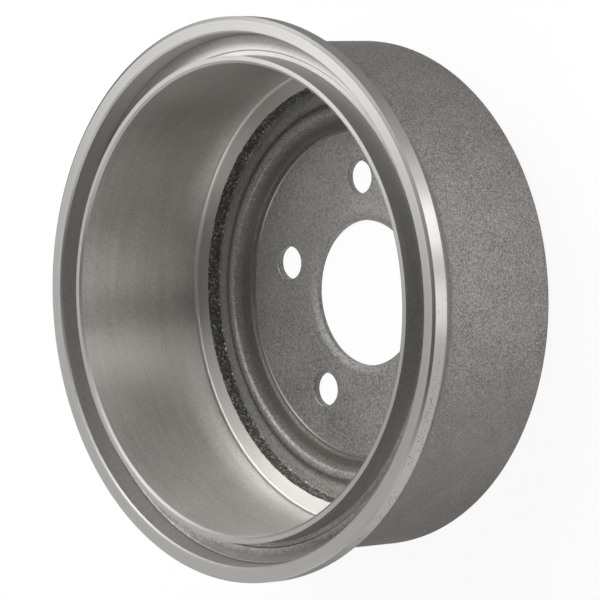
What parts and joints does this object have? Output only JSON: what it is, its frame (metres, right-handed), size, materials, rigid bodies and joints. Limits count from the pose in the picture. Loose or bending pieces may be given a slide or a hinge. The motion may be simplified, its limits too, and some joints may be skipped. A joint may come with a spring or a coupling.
{
  "type": "brake drum",
  "caption": "Deep round iron drum with a turned friction bore, a grooved flanged rim, and a thin ribbed web with a hub bore and lug holes.",
  "frame": {"origin": "centre of the wheel face, the outer face of the web, which is the lowest plane", "axes": "+Z along the axis out of the open mouth, +X through the centre of one lug hole"},
  "size_m": [0.2734, 0.2734, 0.0905],
  "materials": {
    "iron": "as cast outside and on the web, turned and ground on the rim, lip and friction surface"
  },
  "bodies": {
    "root": {"brake_drum": "iron"}
  },
  "joints": []
}
